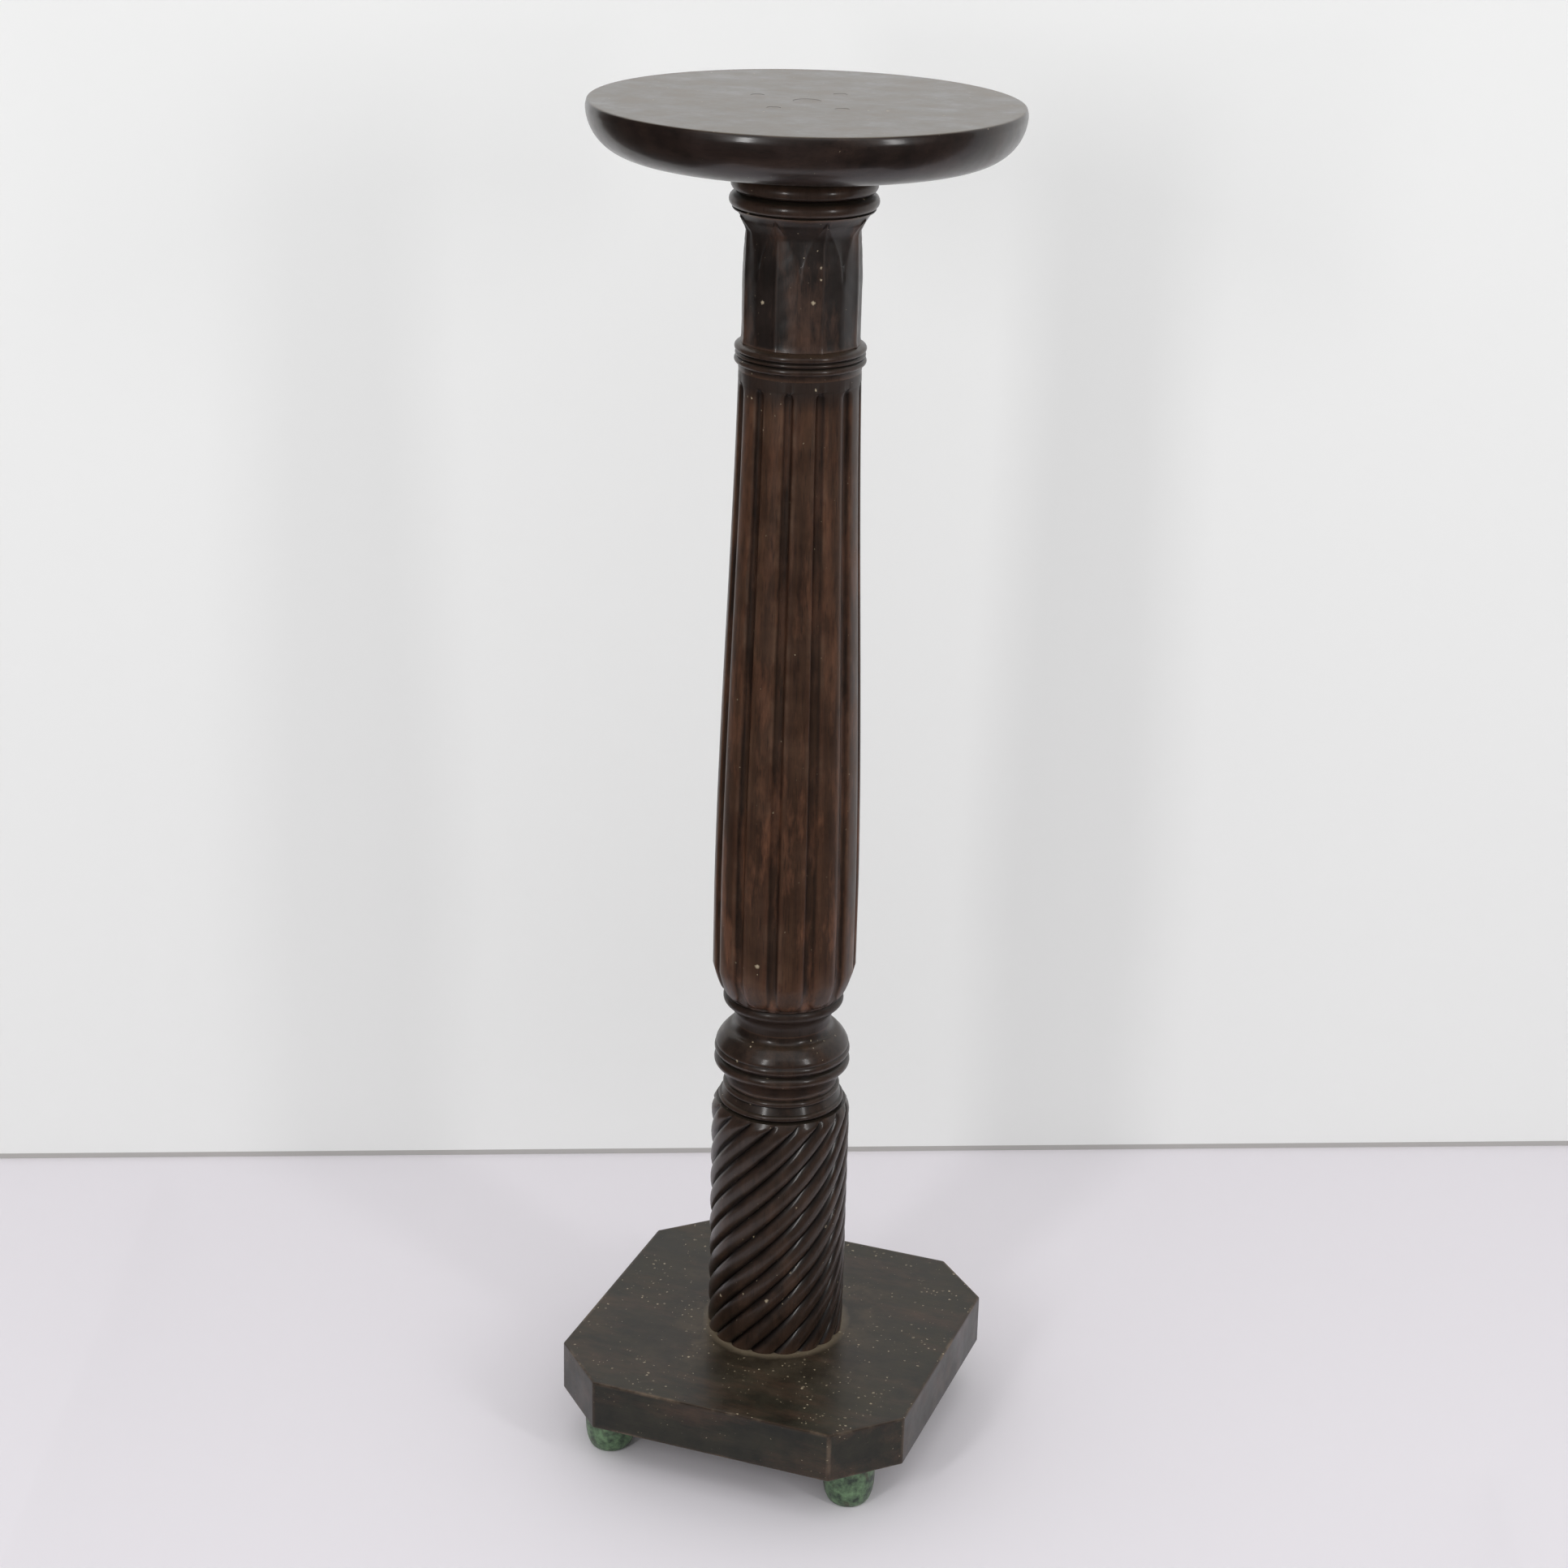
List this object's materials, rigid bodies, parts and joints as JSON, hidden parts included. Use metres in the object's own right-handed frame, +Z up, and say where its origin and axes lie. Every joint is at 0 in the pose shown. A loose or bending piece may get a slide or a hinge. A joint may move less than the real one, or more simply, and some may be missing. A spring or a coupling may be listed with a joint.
{
  "type": "torchere stand",
  "caption": "Tall wooden stand: round top on a turned column with carved capital, reeded shaft, rope-twist foot, canted plinth and bun feet.",
  "frame": {"origin": "on the floor, under the column's axis and the middle of the plinth", "axes": "+Z up the column, +Y to the back, +X to the right as seen from the front"},
  "size_m": [0.301, 0.301, 1.028],
  "materials": {
    "mahogany_top": "worn dark polish",
    "mahogany_dark": "dark stain under polish",
    "mahogany_worn": "dark stain worn to red-brown",
    "plinth_wood": "dusty dark polish",
    "end_grain": "dark polish over end grain",
    "raw_wood": "unpolished hardwood",
    "green_paint": "mottled old green paint",
    "steel": "plain steel screws"
  },
  "bodies": {
    "root": {"top_board": "mahogany_top", "top_pin": "end_grain", "top_screws": "steel", "top_plugs": "end_grain", "cap_ring": "mahogany_dark", "capital": "mahogany_dark", "collar_ring": "mahogany_dark", "reeded_shaft": "mahogany_worn", "waist_pin": "raw_wood", "knop": "mahogany_dark", "spiral_shaft": "mahogany_dark", "tenon_wedge": "raw_wood", "plinth": "plinth_wood", "foot_front_left": "green_paint", "foot_front_right": "green_paint", "foot_back_left": "green_paint", "foot_back_right": "green_paint"}
  },
  "joints": []
}
